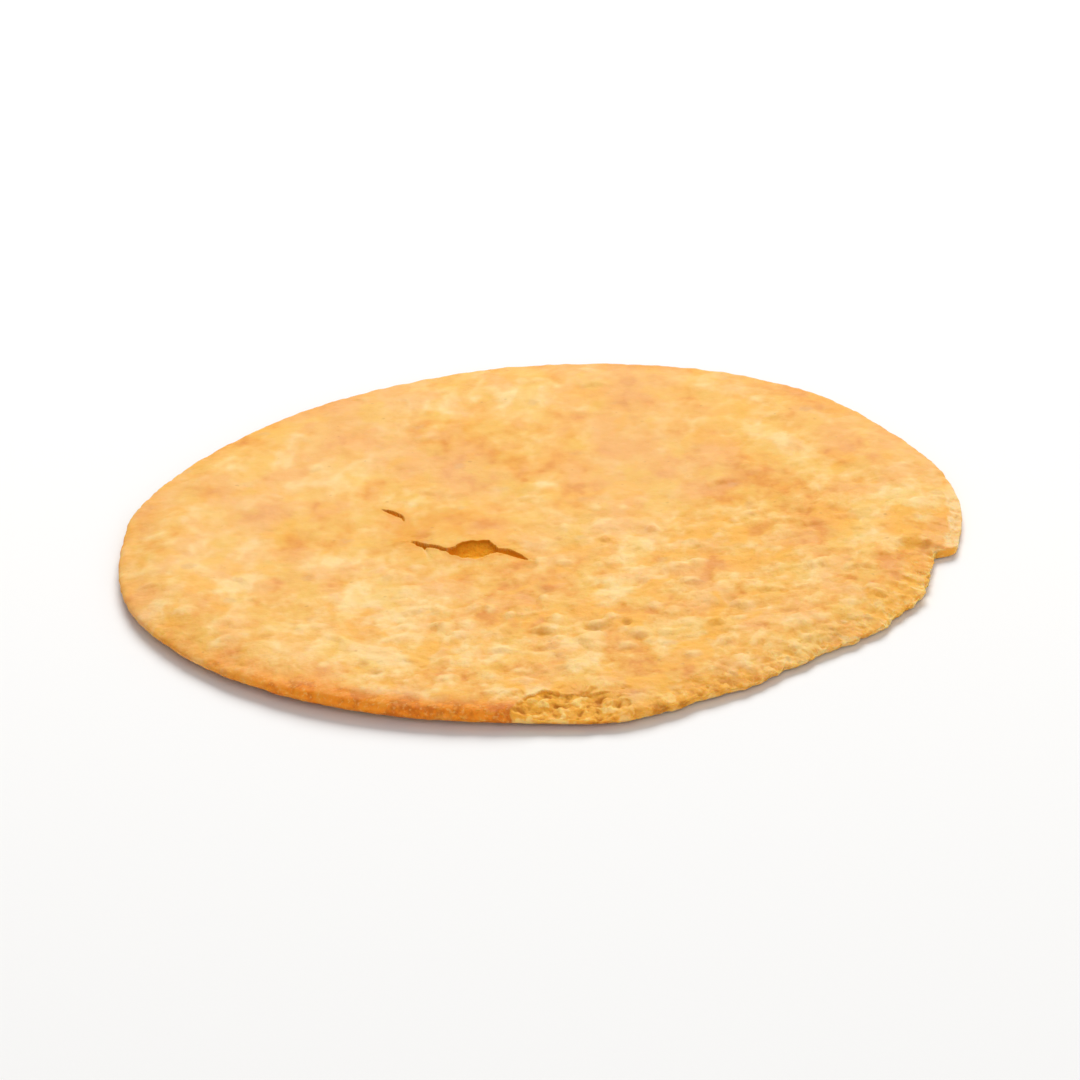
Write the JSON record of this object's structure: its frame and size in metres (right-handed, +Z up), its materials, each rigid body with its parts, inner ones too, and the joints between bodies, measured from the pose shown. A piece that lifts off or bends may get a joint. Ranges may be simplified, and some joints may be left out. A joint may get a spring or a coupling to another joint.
{
  "type": "khakhra",
  "caption": "Small, thin, crisp, golden roasted flatbread with a short tear in its top skin and a crumbled stretch of edge.",
  "frame": {"origin": "middle of the bread's bounding box, on the surface that it lies on", "axes": "+Z up out of the top skin, across the bread's thickness; +X to the right of the viewer, towards the step in the edge; +Y away from the viewer, so the flaked place in the edge is at -Y"},
  "size_m": [0.0902, 0.0912, 0.0028],
  "materials": {
    "baked_dough": "matte"
  },
  "bodies": {
    "root": {"khakhra": "baked_dough"}
  },
  "joints": []
}
